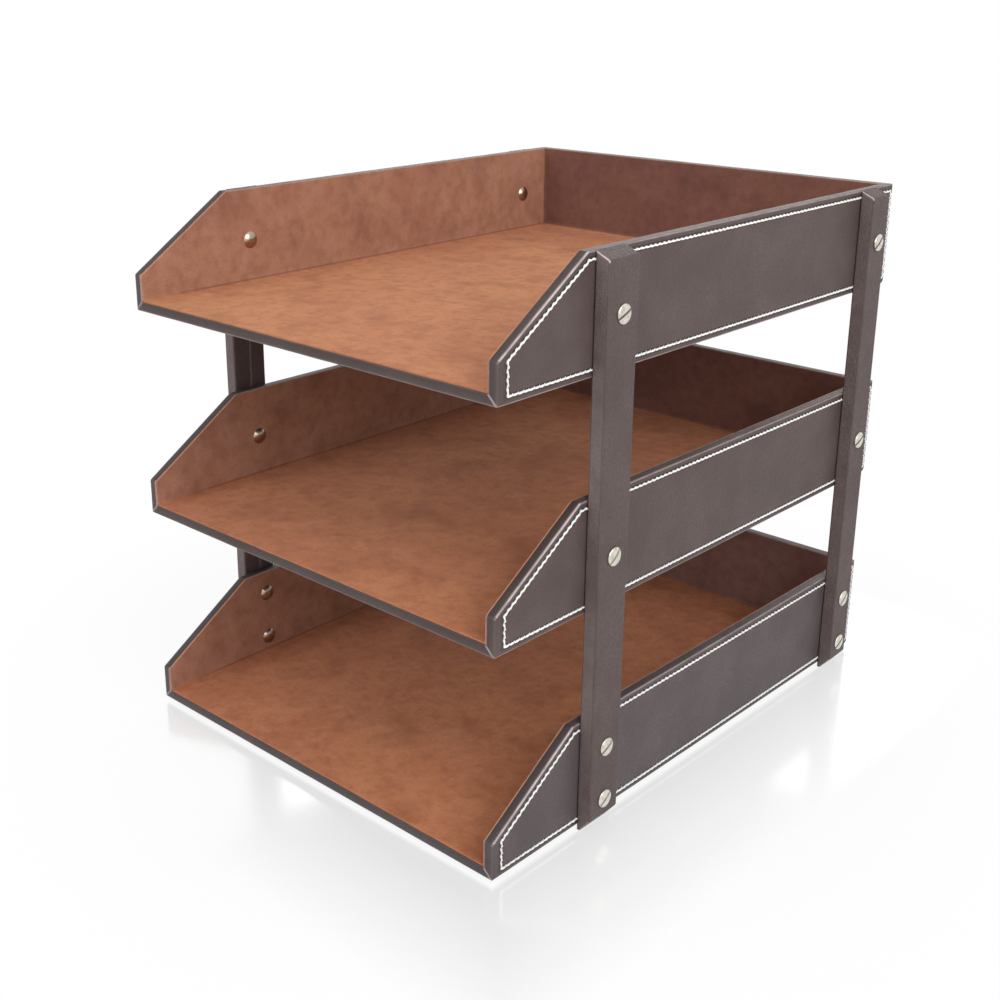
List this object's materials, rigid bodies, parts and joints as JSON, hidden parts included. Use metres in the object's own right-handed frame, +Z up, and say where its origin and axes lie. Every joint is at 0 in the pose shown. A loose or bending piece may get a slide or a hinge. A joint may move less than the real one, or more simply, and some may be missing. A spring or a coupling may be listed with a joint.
{
  "type": "document tray",
  "caption": "Open-fronted document trays of leather-covered board with suede lining, held one over another by wrapped side posts and binding screws.",
  "frame": {"origin": "centre of the footprint, at the level of the posts' feet", "axes": "+Z up, -Y towards the open front, +X to the right of someone facing the front"},
  "size_m": [0.2736, 0.334, 0.2891],
  "materials": {
    "leather": "dark grey-brown, fine pebble grain, low sheen",
    "suede": "rust-brown suede, mottled nap",
    "board": "raw fibreboard",
    "thread": "white twisted thread",
    "nickel": "bright nickel plate"
  },
  "bodies": {
    "root": {"bottom_floor_board": "board", "bottom_floor_lining": "suede", "bottom_left_board": "board", "bottom_left_lining": "suede", "bottom_right_board": "board", "bottom_right_lining": "suede", "bottom_back_board": "board", "bottom_back_lining": "suede", "bottom_base_cover": "leather", "bottom_left_cover": "leather", "bottom_right_cover": "leather", "bottom_back_cover": "leather", "bottom_stitching": "thread", "middle_floor_board": "board", "middle_floor_lining": "suede", "middle_left_board": "board", "middle_left_lining": "suede", "middle_right_board": "board", "middle_right_lining": "suede", "middle_back_board": "board", "middle_back_lining": "suede", "middle_base_cover": "leather", "middle_left_cover": "leather", "middle_right_cover": "leather", "middle_back_cover": "leather", "middle_stitching": "thread", "top_floor_board": "board", "top_floor_lining": "suede", "top_left_board": "board", "top_left_lining": "suede", "top_right_board": "board", "top_right_lining": "suede", "top_back_board": "board", "top_back_lining": "suede", "top_base_cover": "leather", "top_left_cover": "leather", "top_right_cover": "leather", "top_back_cover": "leather", "top_stitching": "thread", "front_left_post_core": "board", "front_left_post_wrap": "leather", "rear_left_post_core": "board", "rear_left_post_wrap": "leather", "front_right_post_core": "board", "front_right_post_wrap": "leather", "rear_right_post_core": "board", "rear_right_post_wrap": "leather", "binding_screws": "nickel", "binding_barrels": "nickel"}
  },
  "joints": []
}
